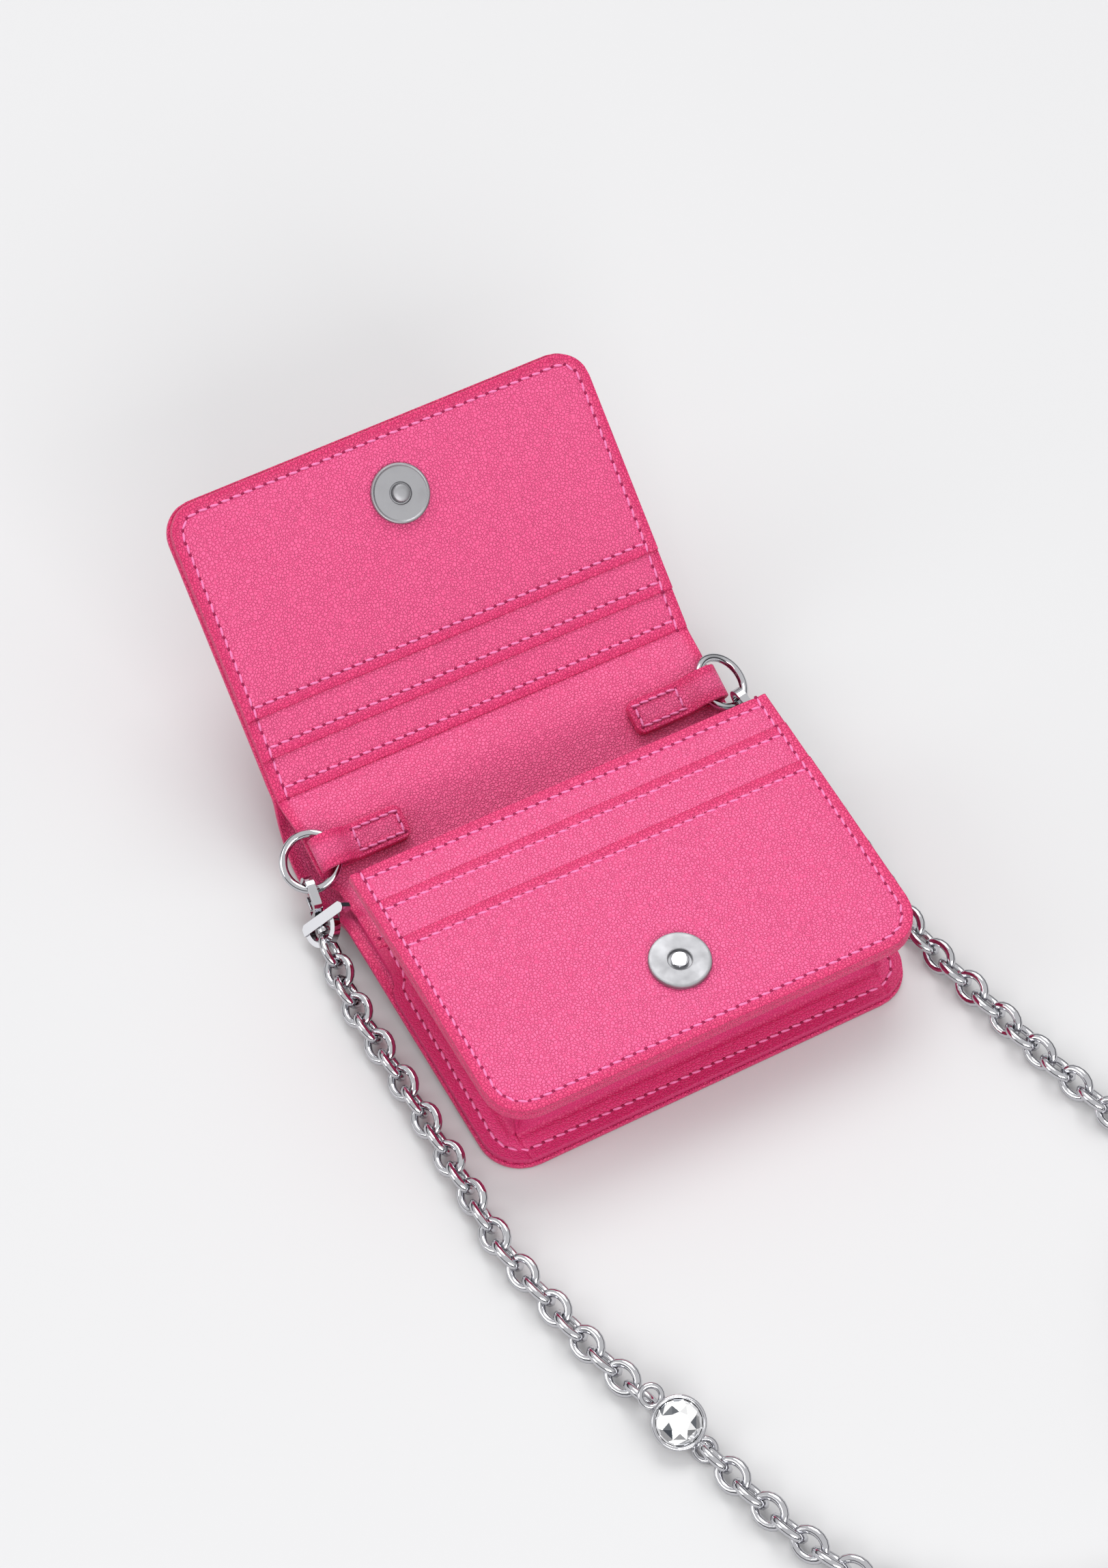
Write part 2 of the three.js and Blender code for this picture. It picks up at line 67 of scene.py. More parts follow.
# ---------------------------------------------------------------- camera
right = Vector((0.87517, -0.48382, 0.0))
up = Vector((0.38373, 0.69411, 0.60907))
forward = Vector((0.29468, 0.53304, -0.79311))
camera = bpy.data.objects.new("camera", bpy.data.cameras.new("camera"))
camera.data.lens = 107.97
camera.data.sensor_width = 36.0
camera.data.clip_end = 20.0
camera.matrix_world = Matrix((
    (right.x, up.x, -forward.x, -0.31543),
    (right.y, up.y, -forward.y, -0.57765),
    (right.z, up.z, -forward.z, 0.87537),
    (0, 0, 0, 1),
))
bpy.context.scene.collection.objects.link(camera)
bpy.context.scene.camera = camera
bpy.context.scene.view_settings.view_transform = "Standard"

# ---------------------------------------------------------------- the wallet's own places
# wallet: x across, y towards the flap from the leaf's folded edge, z off the back panel
joints = {joint["name"]: joint for joint in frame["record"]["behaviour"]["joints"]}
off_back = Vector(joints["leaf_slide"]["axis"])
lean = Matrix.Rotation(math.atan2(-off_back.y, off_back.z), 4, "X")
fold = Vector(joints["spine_fold"]["pos_m"])
SPINE_FOLD = (0, 5, 3.5)
TAB_PLACE = (0, 18.7, 4.5)
TAB_LEAN = math.radians(19)
wallet = Matrix.Translation(fold) @ lean @ Matrix.Translation(-Vector(SPINE_FOLD) * MM)
FLAP_ROOT = (33.75, 9.11)
FLAP_ANGLE = math.radians(35.8)
flap = wallet @ Matrix.Translation(Vector((0, *FLAP_ROOT)) * MM) @ Matrix.Rotation(FLAP_ANGLE, 4, "X")
tabs = wallet @ Matrix.Translation(Vector(TAB_PLACE) * MM) @ Matrix.Rotation(TAB_LEAN, 4, "X")


def at(place, x, y, z):
    return place @ (Vector((x, y, z)) * MM)


def flap_line(s, n):
    """A point of the flap in the wallet's y and z: s from its root, n off its face."""
    c, d = math.cos(FLAP_ANGLE), math.sin(FLAP_ANGLE)
    return FLAP_ROOT[0] + s * c - n * d, FLAP_ROOT[1] + s * d + n * c


# ---------------------------------------------------------------- modelling helpers
def clear():
    if bpy.context.object and bpy.context.object.mode != "OBJECT":
        bpy.ops.object.mode_set(mode="OBJECT")
    bpy.ops.object.select_all(action="DESELECT")


def only(piece):
    clear()
    piece.select_set(True)
    bpy.context.view_layer.objects.active = piece


def select(piece, test, kind="VERT"):
    """Edit mode with the vertices, edges or faces chosen whose middle passes the test (in millimetres)."""
    only(piece)
    bpy.ops.object.mode_set(mode="EDIT")
    bpy.ops.mesh.select_mode(type=kind)
    bpy.ops.mesh.select_all(action="DESELECT")
    bpy.ops.object.mode_set(mode="OBJECT")
    mesh = piece.data
    items = {"VERT": mesh.vertices, "EDGE": mesh.edges, "FACE": mesh.polygons}[kind]
    for item in items:
        if kind == "VERT":
            middle = item.co
        else:
            middle = sum((mesh.vertices[v].co for v in item.vertices), Vector()) / len(item.vertices)
        item.select = bool(test(middle / MM))
    bpy.ops.object.mode_set(mode="EDIT")


def settle(piece, name):
    """Leaves edit mode, names the piece and puts its place into its mesh."""
    only(piece)
    bpy.ops.object.transform_apply(location=True, rotation=True, scale=True)
    piece.name = name
    piece.data.name = name
    return piece


def modify(piece, kind, **settings):
    only(piece)
    modifier = piece.modifiers.new(kind.title(), kind)
    for key, value in settings.items():
        setattr(modifier, key, value)
    bpy.ops.object.modifier_apply(modifier=modifier.name)


def smooth(piece, degrees=40):
    only(piece)
    bpy.ops.object.shade_smooth_by_angle(angle=math.radians(degrees))


def dress(piece, body, material):
    piece.data.materials.clear()
    piece.data.materials.append(material)
    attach(piece, body)
    return piece


def graded(low, high, lines, fine=0.45, coarse=2.4, reach=2.6):
    """Places from low to high, on every line and close together beside it."""
    exact = sorted({low, high, *(line for line in lines if low < line < high)})
    places = list(exact)
    too_close = 0.55 * fine
    steps = round(reach / fine)
    for line in exact:
        for i in range(-steps, steps + 1):
            spot = line + i * fine
            if low < spot < high and min(abs(spot - other) for other in places) > too_close:
                places.append(spot)
    places.sort()
    filled = []
    for a, b in zip(places, places[1:]):
        count = max(1, math.ceil((b - a) / coarse - 0.01))
        filled += [a + (b - a) * i / count for i in range(count)]
    return filled + [high]


FOLD = 2.3  # width of the band beside an edge, where the hide is turned over, that is darkened with painted shade


def hide(name, xs, ys, place, thickness, rim=0.3, offset=-1.0):
    """A piece of leather: a fine grid laid on its face, given its thickness, its edges rounded. It keeps how
    close each point is to an edge, for the painted edge shade, and its place along ys."""
    clear()
    bpy.ops.mesh.primitive_grid_add(x_subdivisions=len(xs) - 1, y_subdivisions=len(ys) - 1, size=1)
    piece = bpy.context.object
    edge_shade_weights, runs = [], []
    for vertex in piece.data.vertices:
        column = round((vertex.co.x + 0.5) * (len(xs) - 1))
        row = round((vertex.co.y + 0.5) * (len(ys) - 1))
        vertex.co = place(xs[column], ys[row])
        reach = min(min(xs[column] - xs[0], xs[-1] - xs[column]), min(ys[row] - ys[0], ys[-1] - ys[row]))
        edge_shade_weights.append(math.exp(-((reach / FOLD) ** 4)))
        runs.append(ys[row])
    # the fold attribute carries the painted edge shade to the material
    for attribute, values in (("fold", edge_shade_weights), ("run", runs)):
        piece.data.attributes.new(attribute, "FLOAT", "POINT").data.foreach_set("value", values)
    modify(piece, "SOLIDIFY", thickness=thickness * MM, offset=offset, use_even_offset=True)
    if rim:
        modify(
            piece, "BEVEL", width=rim * MM, segments=3, limit_method="ANGLE",
            angle_limit=math.radians(50), use_clamp_overlap=True,
        )
    settle(piece, name)
    smooth(piece)
    return piece


def rounded(x, y, half, far, radius):
    """Draws a point of a rectangle in, so that the corners at its far edge are round."""
    towards = math.copysign(1, far)
    a = abs(x) - (half - radius)
    b = towards * y - (abs(far) - radius)
    if a > 0 and b > 0:
        shrink = max(a, b) / math.hypot(a, b)
        x = math.copysign(half - radius + a * shrink, x)
        y = towards * (abs(far) - radius + b * shrink)
    return x, y


def border(half, near, far, radius, inset):
    """The line that runs inside three sides of a panel, from one end of its near edge to the other."""
    towards = math.copysign(1, far)
    x, y, r = half - inset, far - towards * inset, max(radius - inset, 0.1)
    turn = y - towards * r
    points = [(-x, near), (-x, turn)]
    for i in range(1, 7):
        a = math.radians(15 * i)
        points.append((-x + r * (1 - math.cos(a)), turn + towards * r * math.sin(a)))
    points.append((x - r, y))
    for i in range(5, -1, -1):
        a = math.radians(15 * i)
        points.append((x - r * (1 - math.cos(a)), turn + towards * r * math.sin(a)))
    return points + [(x, near)]


def distance(x, y, line):
    """From a point to a line of straight pieces."""
    best = 99.0
    for (x0, y0), (x1, y1) in zip(line, line[1:]):
        dx, dy = x1 - x0, y1 - y0
        t = ((x - x0) * dx + (y - y0) * dy) / (dx * dx + dy * dy + 1e-9)
        t = min(max(t, 0), 1)
        best = min(best, math.hypot(x - x0 - t * dx, y - y0 - t * dy))
    return best


SWELL = 3.4  # how far from a seam the leather has risen to its full height
PULL = 0.55  # half the width of the channel that the thread pulls in


def sewn(x, y, lines, crown=0.35, groove=0.28):
    """Height of stuffed leather: it dips where thread pulls it down and swells between."""
    near = min(distance(x, y, line) for line in lines)
    return crown * (1 - math.exp(-((near / SWELL) ** 2))) - groove * math.exp(-((near / PULL) ** 2))


# ---------------------------------------------------------------- materials
def colour(code):
    """An sRGB hex value as linear light."""
    parts = [int(code[i:i + 2], 16) / 255 for i in (1, 3, 5)]
    return tuple(c / 12.92 if c <= 0.04045 else ((c + 0.055) / 1.055) ** 2.4 for c in parts) + (1.0,)


def per_metre(size):
    """Scale of a pattern whose cells are this many millimetres wide."""
    return 1 / (size * MM)


def add(tree, kind, values=(), links=(), **settings):
    """A node with its settings, its socket values and what feeds its sockets."""
    new = tree.nodes.new(kind)
    for key, value in settings.items():
        setattr(new, key, value)
    for key, value in dict(values).items():
        new.inputs[key].default_value = value
    for key, source in dict(links).items():
        tree.links.new(source, new.inputs[key])
    return new


def material(name, **shader):
    """A new material, its node tree and its shader with the given socket values."""
    made = bpy.data.materials.new(name)
    made.use_nodes = True
    principled = made.node_tree.nodes["Principled BSDF"]
    for key, value in shader.items():
        principled.inputs[key.replace("_", " ").title().replace("Ior", "IOR")].default_value = value
    return made, made.node_tree, principled


# edge is a painted shade colour: the folded edges are darkened towards it
def coated_leather(name, light, dark, edge, roughness, grain=0.5):
    """Polyurethane-coated leather, embossed with a fine pebble grain: cells under a millimetre wide with
    narrow valleys, and a semi-gloss coat that breaks the light up along the grain."""
    made, tree, shader = material(name, coat_weight=0.12, coat_roughness=0.35)
    place = add(tree, "ShaderNodeTexCoord").outputs["Object"]
    warp = add(tree, "ShaderNodeTexNoise", {"Scale": per_metre(2.381), "Detail": 2.0}, {"Vector": place})
    shift = add(
        tree, "ShaderNodeVectorMath", links={0: warp.outputs["Color"]}, operation="SCALE",
        values={"Scale": 0.9 * MM},
    )
    moved = add(tree, "ShaderNodeVectorMath", links={0: place, 1: shift.outputs[0]}, operation="ADD")
    cells = add(
        tree, "ShaderNodeTexVoronoi", {"Scale": per_metre(0.7407)}, {"Vector": moved.outputs[0]},
        feature="DISTANCE_TO_EDGE",
    )
    valley = add(
        tree, "ShaderNodeMapRange", {"From Max": 0.16, "To Min": 0.0, "To Max": 1.0},
        {"Value": cells.outputs["Distance"]},
    )
    fine = add(tree, "ShaderNodeTexNoise", {"Scale": per_metre(0.3846), "Detail": 3.0}, {"Vector": place})
    height = add(
        tree, "ShaderNodeMath", links={0: valley.outputs[0], 1: fine.outputs["Fac"]}, operation="ADD",
    )
    bump = add(
        tree, "ShaderNodeBump", {"Strength": grain, "Distance": 0.22 * MM}, {"Height": height.outputs[0]},
    )
    # the colour is a little darker in the valleys of the grain, and drifts over some 36 mm
    drift = add(tree, "ShaderNodeTexNoise", {"Scale": per_metre(35.71), "Detail": 2.0}, {"Vector": place})
    share = add(
        tree, "ShaderNodeMath", {1: 0.22}, {0: drift.outputs["Fac"]}, operation="MULTIPLY",
    )
    pits = add(
        tree, "ShaderNodeMapRange", {"From Max": 1.0, "To Min": 0.16, "To Max": 0.0},
        {"Value": valley.outputs[0]},
    )
    mix = add(
        tree, "ShaderNodeMath", links={0: share.outputs[0], 1: pits.outputs[0]}, operation="ADD",
    )
    dye = add(
        tree, "ShaderNodeMix", {6: colour(light), 7: colour(dark)}, {0: mix.outputs[0]}, data_type="RGBA",
    )
    # painted shade: the folded edges are darkened towards the edge colour, standing in for the sheen that
    # they lack
    fold = add(tree, "ShaderNodeAttribute", attribute_name="fold")
    edge_shade_share = add(tree, "ShaderNodeMath", {1: 0.8}, {0: fold.outputs["Fac"]}, operation="MULTIPLY")
    shade = add(
        tree, "ShaderNodeMix", {7: colour(edge)}, {0: edge_shade_share.outputs[0], 6: dye.outputs[2]}, data_type="RGBA",
    )
    gloss = add(
        tree, "ShaderNodeMapRange", {"To Min": roughness - 0.06, "To Max": roughness + 0.08},
        {"Value": fine.outputs["Fac"]},
    )
    tree.links.new(shade.outputs[2], shader.inputs["Base Color"])
    tree.links.new(gloss.outputs[0], shader.inputs["Roughness"])
    tree.links.new(bump.outputs[0], shader.inputs["Normal"])
    return made


def polished_steel(name, tint, roughness, brushed):
    """Nickel-plated steel, barrel-polished: a near mirror with faint wear; the snaps are lathe-turned, so
    they carry finer, duller scratches."""
    made, tree, shader = material(name, base_color=colour(tint), metallic=1.0)
    place = add(tree, "ShaderNodeTexCoord").outputs["Object"]
    haze = add(tree, "ShaderNodeTexNoise", {"Scale": per_metre(3.333), "Detail": 4.0}, {"Vector": place})
    rough = add(
        tree, "ShaderNodeMapRange", {"To Min": roughness * 0.6, "To Max": roughness * 1.5},
        {"Value": haze.outputs["Fac"]},
    )
    scratch = add(tree, "ShaderNodeTexNoise", {"Scale": per_metre(0.5556), "Detail": 2.0}, {"Vector": place})
    bump = add(
        tree, "ShaderNodeBump", {"Strength": brushed, "Distance": 0.02 * MM},
        {"Height": scratch.outputs["Fac"]},
    )
    tree.links.new(rough.outputs[0], shader.inputs["Roughness"])
    tree.links.new(bump.outputs[0], shader.inputs["Normal"])
    return made


def spun_thread(name, tint):
    """Three-ply polyester sewing thread, slightly glossy, its twist about a millimetre a turn."""
    made, tree, shader = material(name, base_color=colour(tint), roughness=0.5, sheen_weight=0.3)
    place = add(tree, "ShaderNodeTexCoord").outputs["Object"]
    twist = add(
        tree, "ShaderNodeTexWave", {"Scale": math.tau / 10 * per_metre(1.0134), "Distortion": 1.0},
        {"Vector": place}, bands_direction="DIAGONAL",
    )
    bump = add(
        tree, "ShaderNodeBump", {"Strength": 0.5, "Distance": 0.1 * MM}, {"Height": twist.outputs["Fac"]},
    )
    tree.links.new(bump.outputs[0], shader.inputs["Normal"])
    return made


def dark_hole(name, tint):
    """The needle's hole: dyed leather in its own shadow."""
    made, tree, shader = material(name, roughness=0.9)
    place = add(tree, "ShaderNodeTexCoord").outputs["Object"]
    mottle = add(tree, "ShaderNodeTexNoise", {"Scale": per_metre(1.111)}, {"Vector": place})
    ramp = add(tree, "ShaderNodeValToRGB", links={"Fac": mottle.outputs["Fac"]})
    ramp.color_ramp.elements[0].color = colour(tint)
    ramp.color_ramp.elements[1].color = tuple(0.7 * c for c in colour(tint)[:3]) + (1.0,)
    tree.links.new(ramp.outputs[0], shader.inputs["Base Color"])
    return made


def cut_crystal(name):
    """Lead-free crystal, machine-cut and foil-backed: clear, its facets given random painted reflections,
    from dark grey to bright white.
    """
    made, tree, shader = material(name, roughness=0.02, ior=1.6, metallic=0.75)
    facet = add(tree, "ShaderNodeAttribute", attribute_name="facet")
    tone = add(tree, "ShaderNodeValToRGB", links={"Fac": facet.outputs["Fac"]})
    tone.color_ramp.elements[0].position = 0.1
    tone.color_ramp.elements[0].color = colour("#4A5058")
    tone.color_ramp.elements[1].position = 0.45
    tone.color_ramp.elements[1].color = colour("#FFFFFF")
    tree.links.new(tone.outputs[0], shader.inputs["Base Color"])
    return made


# the third colour of each is the painted shade of its folded edges
LEATHER = coated_leather("coated leather, pink", "#F0588F", "#DC3274", "#DC1E66", 0.4, 0.9)
# painted shade: the lining is the same pink leather, darkened to stand for the shade it lies in under leaf
# and flap
LEATHER_IN_PAINTED_SHADE = coated_leather("coated leather, lining", "#E03C7C", "#C42866", "#C81E62", 0.5, 0.6)
STEEL = polished_steel("nickel-plated steel, polished", "#C2C2C6", 0.07, 0.05)
SATIN = polished_steel("nickel-plated steel, satin", "#A0A0A3", 0.48, 0.3)
THREAD = spun_thread("polyester thread, lilac pink", "#E878B0")
HOLE = dark_hole("needle hole", "#A01450")
CRYSTAL = cut_crystal("foil-backed crystal")

# ---------------------------------------------------------------- chain strap
LIE = 3.65  # height of the chain's middle on the table
CHAIN = 7.2  # the strap's width as a cord, and how much higher the coil's upper layer lies
PITCH = 5.65  # from one link to the next
LINK_WIRE = 1.0  # radius
LINK_HALF_WIDTH = 2.9  # to the middle of the wire
LINK_HALF_LENGTH = 3.8
LINK_ROLL = 38  # degrees that a link is rolled off the level; the next one is a quarter turn on
LINK_PLAY = 7  # and how far it may lie off that
LEFT_RUN = [
    (-59.2, -8.9, 4.7), (-60.6, -17.5, 3.7), (-61.5, -27, LIE), (-61.6, -47, LIE), (-61.9, -66, LIE),
    (-62.4, -83, LIE), (-62.8, -98, LIE), (-60.6, -114, LIE), (-58.0, -130, LIE), (-54.3, -144.3, LIE),
]
STONE_PLACE = (-51.4, -154.3, 4.9)
LOWER_RUN = [
    (-48.5, -164.3, LIE), (-46.3, -175, LIE), (-42.8, -188, LIE), (-38.1, -199.7, LIE), (-29, -213.5, LIE),
    (-13, -227, LIE), (8, -236, LIE), (30, -239.2, LIE), (49, -239.3, LIE),
]
RIGHT_RUN = [
    (88.5, -166, LIE), (83, -155.5, LIE), (76.5, -143, LIE), (72, -131.5, LIE), (69.9, -123, LIE),
    (67.2, -111, LIE), (64.8, -98.5, LIE), (62.4, -85, LIE), (60.5, -72, LIE), (60.2, -55, LIE),
    (60.8, -36, LIE), (60.9, -18, 3.8), (59.2, -8.9, 4.7),
]
# millimetres and degrees; climb is the part of the sweep in which the coil rises to its upper layer
COIL = {"x": 75, "y": -206, "outer": 33, "inner": 17, "start": -90, "sweep": 1565, "climb": 165}


def coil_turns():
    """Two layers of turns: in along the table, up near the middle, out again on top."""
    points = []
    steps = round(COIL["sweep"] / 15)
    for i in range(steps + 1):
        t = i / steps
        angle = math.radians(COIL["start"] + COIL["sweep"] * t)
        spread = math.sqrt((1 - 2 * t) ** 2 + 0.0025)
        radius = COIL["inner"] + (COIL["outer"] - COIL["inner"]) * min(spread, 1)
        rise = min(max((t - 0.5) * COIL["sweep"] / COIL["climb"] + 0.5, 0), 1)
        height = LIE + CHAIN * rise * rise * (3 - 2 * rise)
        points.append((COIL["x"] + radius * math.cos(angle), COIL["y"] + radius * math.sin(angle), height))
    return points


def through(points, step=1.0):
    """A smooth line through the points, sampled every step (centripetal Catmull-Rom)."""
    points = [Vector(p) for p in points]
    points = [2 * points[0] - points[1]] + points + [2 * points[-1] - points[-2]]
    line = []
    for a, b, c, d in zip(points, points[1:], points[2:], points[3:]):
        t1 = (b - a).length ** 0.5
        t2 = t1 + (c - b).length ** 0.5
        t3 = t2 + (d - c).length ** 0.5
        count = max(2, round((c - b).length / step))
        for i in range(count):
            t = t1 + (t2 - t1) * i / count
            p = a * ((t1 - t) / t1) + b * (t / t1)
            q = b * ((t2 - t) / (t2 - t1)) + c * ((t - t1) / (t2 - t1))
            r = c * ((t3 - t) / (t3 - t2)) + d * ((t - t2) / (t3 - t2))
            p = p * ((t2 - t) / t2) + q * (t / t2)
            q = q * ((t3 - t) / (t3 - t1)) + r * ((t - t1) / (t3 - t1))
            line.append(p * ((t2 - t) / (t2 - t1)) + q * ((t - t1) / (t2 - t1)))
    return line + [points[-2]]


def spaced(line, places):
    """Points of the line at the given lengths along it, with its direction there."""
    lengths = [0.0]
    for a, b in zip(line, line[1:]):
        lengths.append(lengths[-1] + (b - a).length)
    found = []
    i = 0
    for place in places:
        while i < len(line) - 2 and lengths[i + 1] < place:
            i += 1
        share = (place - lengths[i]) / (lengths[i + 1] - lengths[i])
        found.append((line[i].lerp(line[i + 1], share), (line[i + 1] - line[i]).normalized()))
    return found, lengths[-1]


def copies(name, shape, places):
    """One mesh of many copies of a shape, each with its own vertices, at the matrices given."""
    vertices = [v.co.copy() for v in shape.data.vertices]
    faces = [tuple(p.vertices) for p in shape.data.polygons]
    slots = [p.material_index for p in shape.data.polygons]
    all_vertices, all_faces, all_slots = [], [], []
    for place in places:
        start = len(all_vertices)
        all_vertices += [place @ v for v in vertices]
        all_faces += [tuple(start + i for i in face) for face in faces]
        all_slots += slots
    mesh = bpy.data.meshes.new(name)
    mesh.from_pydata(all_vertices, [], all_faces)
    mesh.polygons.foreach_set("material_index", all_slots)
    mesh.polygons.foreach_set("use_smooth", [True] * len(all_faces))
    mesh.update()
    piece = bpy.data.objects.new(name, mesh)
    bpy.context.scene.collection.objects.link(piece)
    return piece


def chain_link():
    """One oval link of round wire, its long way along x."""
    clear()
    bpy.ops.mesh.primitive_torus_add(
        major_segments=20, minor_segments=8, major_radius=LINK_HALF_WIDTH * MM, minor_radius=LINK_WIRE * MM,
    )
    link = bpy.context.object
    for vertex in link.data.vertices:
        vertex.co.x += (LINK_HALF_LENGTH - LINK_HALF_WIDTH) * MM * vertex.co.x / vertex.co.xy.length
    return settle(link, "link")


def basis(along, side, origin):
    along = along.normalized()
    side = (side - along * side.dot(along)).normalized()
    off = along.cross(side)
    made = Matrix((along, side, off)).transposed().to_4x4()
    made.translation = origin
    return made


strap_line = through(LEFT_RUN + [STONE_PLACE] + LOWER_RUN + coil_turns() + RIGHT_RUN)
stone_middle = Vector(STONE_PLACE)
stone_index = min(range(len(strap_line)), key=lambda i: (strap_line[i] - stone_middle).length)
stone_at = spaced(strap_line[:stone_index + 1], [])[1]
strap_length = spaced(strap_line, [])[1]
FIRST_LINK = 1.0  # past the bow of the clasp
STONE_REACH = 10.9  # from the stone's middle to the middle of the next link
left_count = round((stone_at - STONE_REACH - FIRST_LINK) / PITCH)
left_pitch = (stone_at - STONE_REACH - FIRST_LINK) / left_count
rest_start = stone_at + STONE_REACH
rest_count = round((strap_length - FIRST_LINK - rest_start) / PITCH)
rest_pitch = (strap_length - FIRST_LINK - rest_start) / rest_count
link_places = [FIRST_LINK + left_pitch * i for i in range(left_count + 1)]
link_places += [rest_start + rest_pitch * i for i in range(rest_count + 1)]
random.seed(7)
link_matrices = []
for number, (point, along) in enumerate(spaced(strap_line, link_places)[0]):
    level = Vector((-along.y, along.x, 0)).normalized()
    # the links change parity at the stone, so that one stands on edge in each of its eyes
    turn = (number + (number <= left_count)) % 2
    roll = math.radians(LINK_ROLL + 90 * turn + random.uniform(-LINK_PLAY, LINK_PLAY))
    side = level * math.cos(roll) + Vector((0, 0, 1)) * math.sin(roll)
    link_matrices.append(basis(along, side, point * MM))
link = chain_link()
strap = copies("chain_strap", link, link_matrices)
bpy.data.objects.remove(link)
dress(strap, "back", STEEL)
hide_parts("chain_left_run", "chain_lower_run", "chain_right_run", "chain_coil")


def turned(name, profile, segments=48):
    """A round piece about z: a disc whose rim is drawn out through the profile's radii and heights."""
    clear()
    radius, height = profile[0]
    bpy.ops.mesh.primitive_circle_add(
        vertices=segments, radius=radius * MM, fill_type="NGON", location=(0, 0, height * MM),
    )
    piece = bpy.context.object
    bpy.ops.object.transform_apply(location=True)
    bpy.ops.object.mode_set(mode="EDIT")
    bpy.ops.mesh.select_all(action="SELECT")
    bpy.ops.mesh.flip_normals()
    for new_radius, new_height in profile[1:]:
        bpy.ops.mesh.extrude_region_move(TRANSFORM_OT_translate={"value": (0, 0, (new_height - height) * MM)})
        share = new_radius / radius
        bpy.ops.transform.resize(value=(share, share, 1), center_override=(0, 0, new_height * MM))
        radius, height = new_radius, new_height
    bpy.ops.mesh.select_all(action="SELECT")
    bpy.ops.mesh.normals_make_consistent(inside=False)
    bpy.ops.object.mode_set(mode="OBJECT")
    piece.name = name
    return piece


def joined(name, *parts):
    only(parts[0])
    for part in parts[1:]:
        part.select_set(True)
    bpy.ops.object.join()
    return settle(bpy.context.object, name)


# stone-set link: a bezel cup with an eye at each end and a cut stone
STONE_LEAN = (24, -16)  # degrees
STONE_HEADING = 15
EYE_PLACE = 8.0  # from the stone's middle
stone_place = Matrix.Translation(stone_middle * MM) @ Matrix.Rotation(math.radians(STONE_HEADING), 4, "Z")
stone_place = stone_place @ Matrix.Rotation(math.radians(STONE_LEAN[1]), 4, "Y")
stone_place = stone_place @ Matrix.Rotation(math.radians(STONE_LEAN[0]), 4, "X")
cup = turned("cup", [
    (4.2, -2.1), (4.6, -2.1), (5.5, -1.2), (5.95, -0.4), (6.0, 1.5), (5.9, 1.95), (5.65, 2.1), (5.35, 2.0),
    (5.1, 1.6), (5.05, -1.2), (4.4, -1.5),
])
smooth(cup, 50)
eyes = []
for end in (-1, 1):
    clear()
    bpy.ops.mesh.primitive_torus_add(
        major_segments=28, minor_segments=10, major_radius=2.3 * MM, minor_radius=0.7 * MM,
        location=(0, end * EYE_PLACE * MM, 0),
    )
    smooth(bpy.context.object)
    eyes.append(bpy.context.object)
bezel = joined("stone_bezel", cup, *eyes)
bezel.data.transform(stone_place)
dress(bezel, "back", STEEL)
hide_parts("stone_cup")


def cut_stone():
    """A round brilliant: an eight-sided table, a ring of star and kite facets, and a pointed back."""
    rings = [(2.3, 2.75, 8, 0), (3.9, 2.15, 8, 22.5), (5.0, 1.35, 16, 11.25), (5.0, 1.1, 16, 11.25)]
    vertices = []
    for radius, height, count, phase in rings:
        for i in range(count):
            a = math.radians(phase + 360 * i / count)
            vertices.append(Vector((radius * math.cos(a), radius * math.sin(a), height)) * MM)
    vertices.append(Vector((0, 0, -1.0)) * MM)
    faces = [tuple(range(8))]
    for i in range(8):
        j = (i + 1) % 8
        faces.append((i, 8 + i, j))
        faces.append((j, 8 + i, 8 + j))
        low, mid = 16 + 2 * i, 16 + 2 * i + 1
        faces.append((8 + i, low, mid))
        faces.append((8 + i, mid, 8 + j))
        faces.append((8 + j, mid, 16 + (2 * i + 2) % 16))
    for i in range(16):
        j = (i + 1) % 16
        faces.append((16 + i, 32 + i, 32 + j, 16 + j))
        faces.append((32 + i, 48, 32 + j))
    mesh = bpy.data.meshes.new("stone")
    mesh.from_pydata(vertices, [], faces)
    # each facet gets a random share of painted reflection, from dark to bright
    mesh.attributes.new("facet", "FLOAT", "FACE").data.foreach_set("value", [random.random() for _ in faces])
    piece = bpy.data.objects.new("stone", mesh)
    bpy.context.scene.collection.objects.link(piece)
    select(piece, lambda p: True, "FACE")
    bpy.ops.mesh.select_all(action="SELECT")
    bpy.ops.mesh.normals_make_consistent(inside=False)
    bpy.ops.object.mode_set(mode="OBJECT")
    return piece


crystal = cut_stone()
crystal.data.transform(stone_place)
settle(crystal, "crystal")
dress(crystal, "back", CRYSTAL)
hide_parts("stone")

# ---------------------------------------------------------------- stitches
STITCH = 2.9  # from one needle hole to the next
STITCH_HALF = (1.15, 0.33, 0.34)  # half a stitch's length, width and height
HOLE_RADIUS = 0.42
HOLE_DEPTH = 0.2
LIFT = 0.1  # of the thread's middle off the leather


